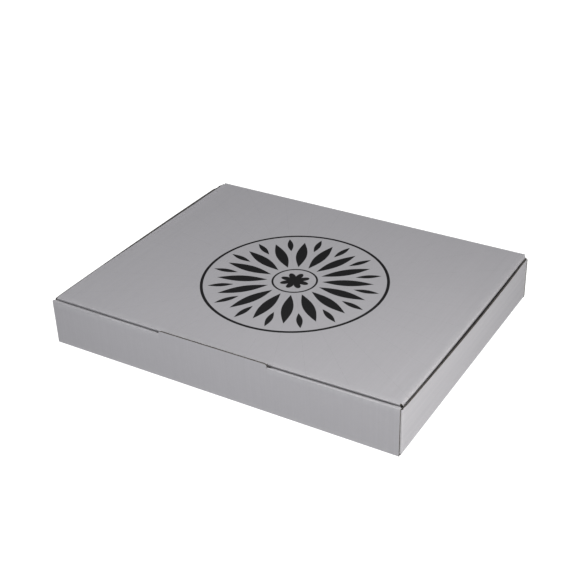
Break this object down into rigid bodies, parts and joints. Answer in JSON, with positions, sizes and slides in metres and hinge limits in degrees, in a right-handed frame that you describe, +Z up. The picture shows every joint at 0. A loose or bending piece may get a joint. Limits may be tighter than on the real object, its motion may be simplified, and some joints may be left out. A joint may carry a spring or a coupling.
{
  "type": "mailer box",
  "caption": "Flat mailer box in grey corrugated board, die-cut and folded, with a rolled front wall, a standing front tab and a hinged lid that tucks in.",
  "frame": {"origin": "middle of the underside, on the surface that the box stands on", "axes": "+X to the right seen from the front, +Y to the rear wall with the lid's hinge, +Z up"},
  "size_m": [0.374, 0.296, 0.0527],
  "materials": {
    "board": "matte"
  },
  "bodies": {
    "tray": {"tray": "board"},
    "lid": {"lid": "board"}
  },
  "joints": [
    {"name": "lid_hinge", "type": "hinge", "parent": "tray", "child": "lid", "pos_m": [0, 0.148, 0.048], "axis": [-1, 0, 0], "range_deg": [0, 120]}
  ]
}
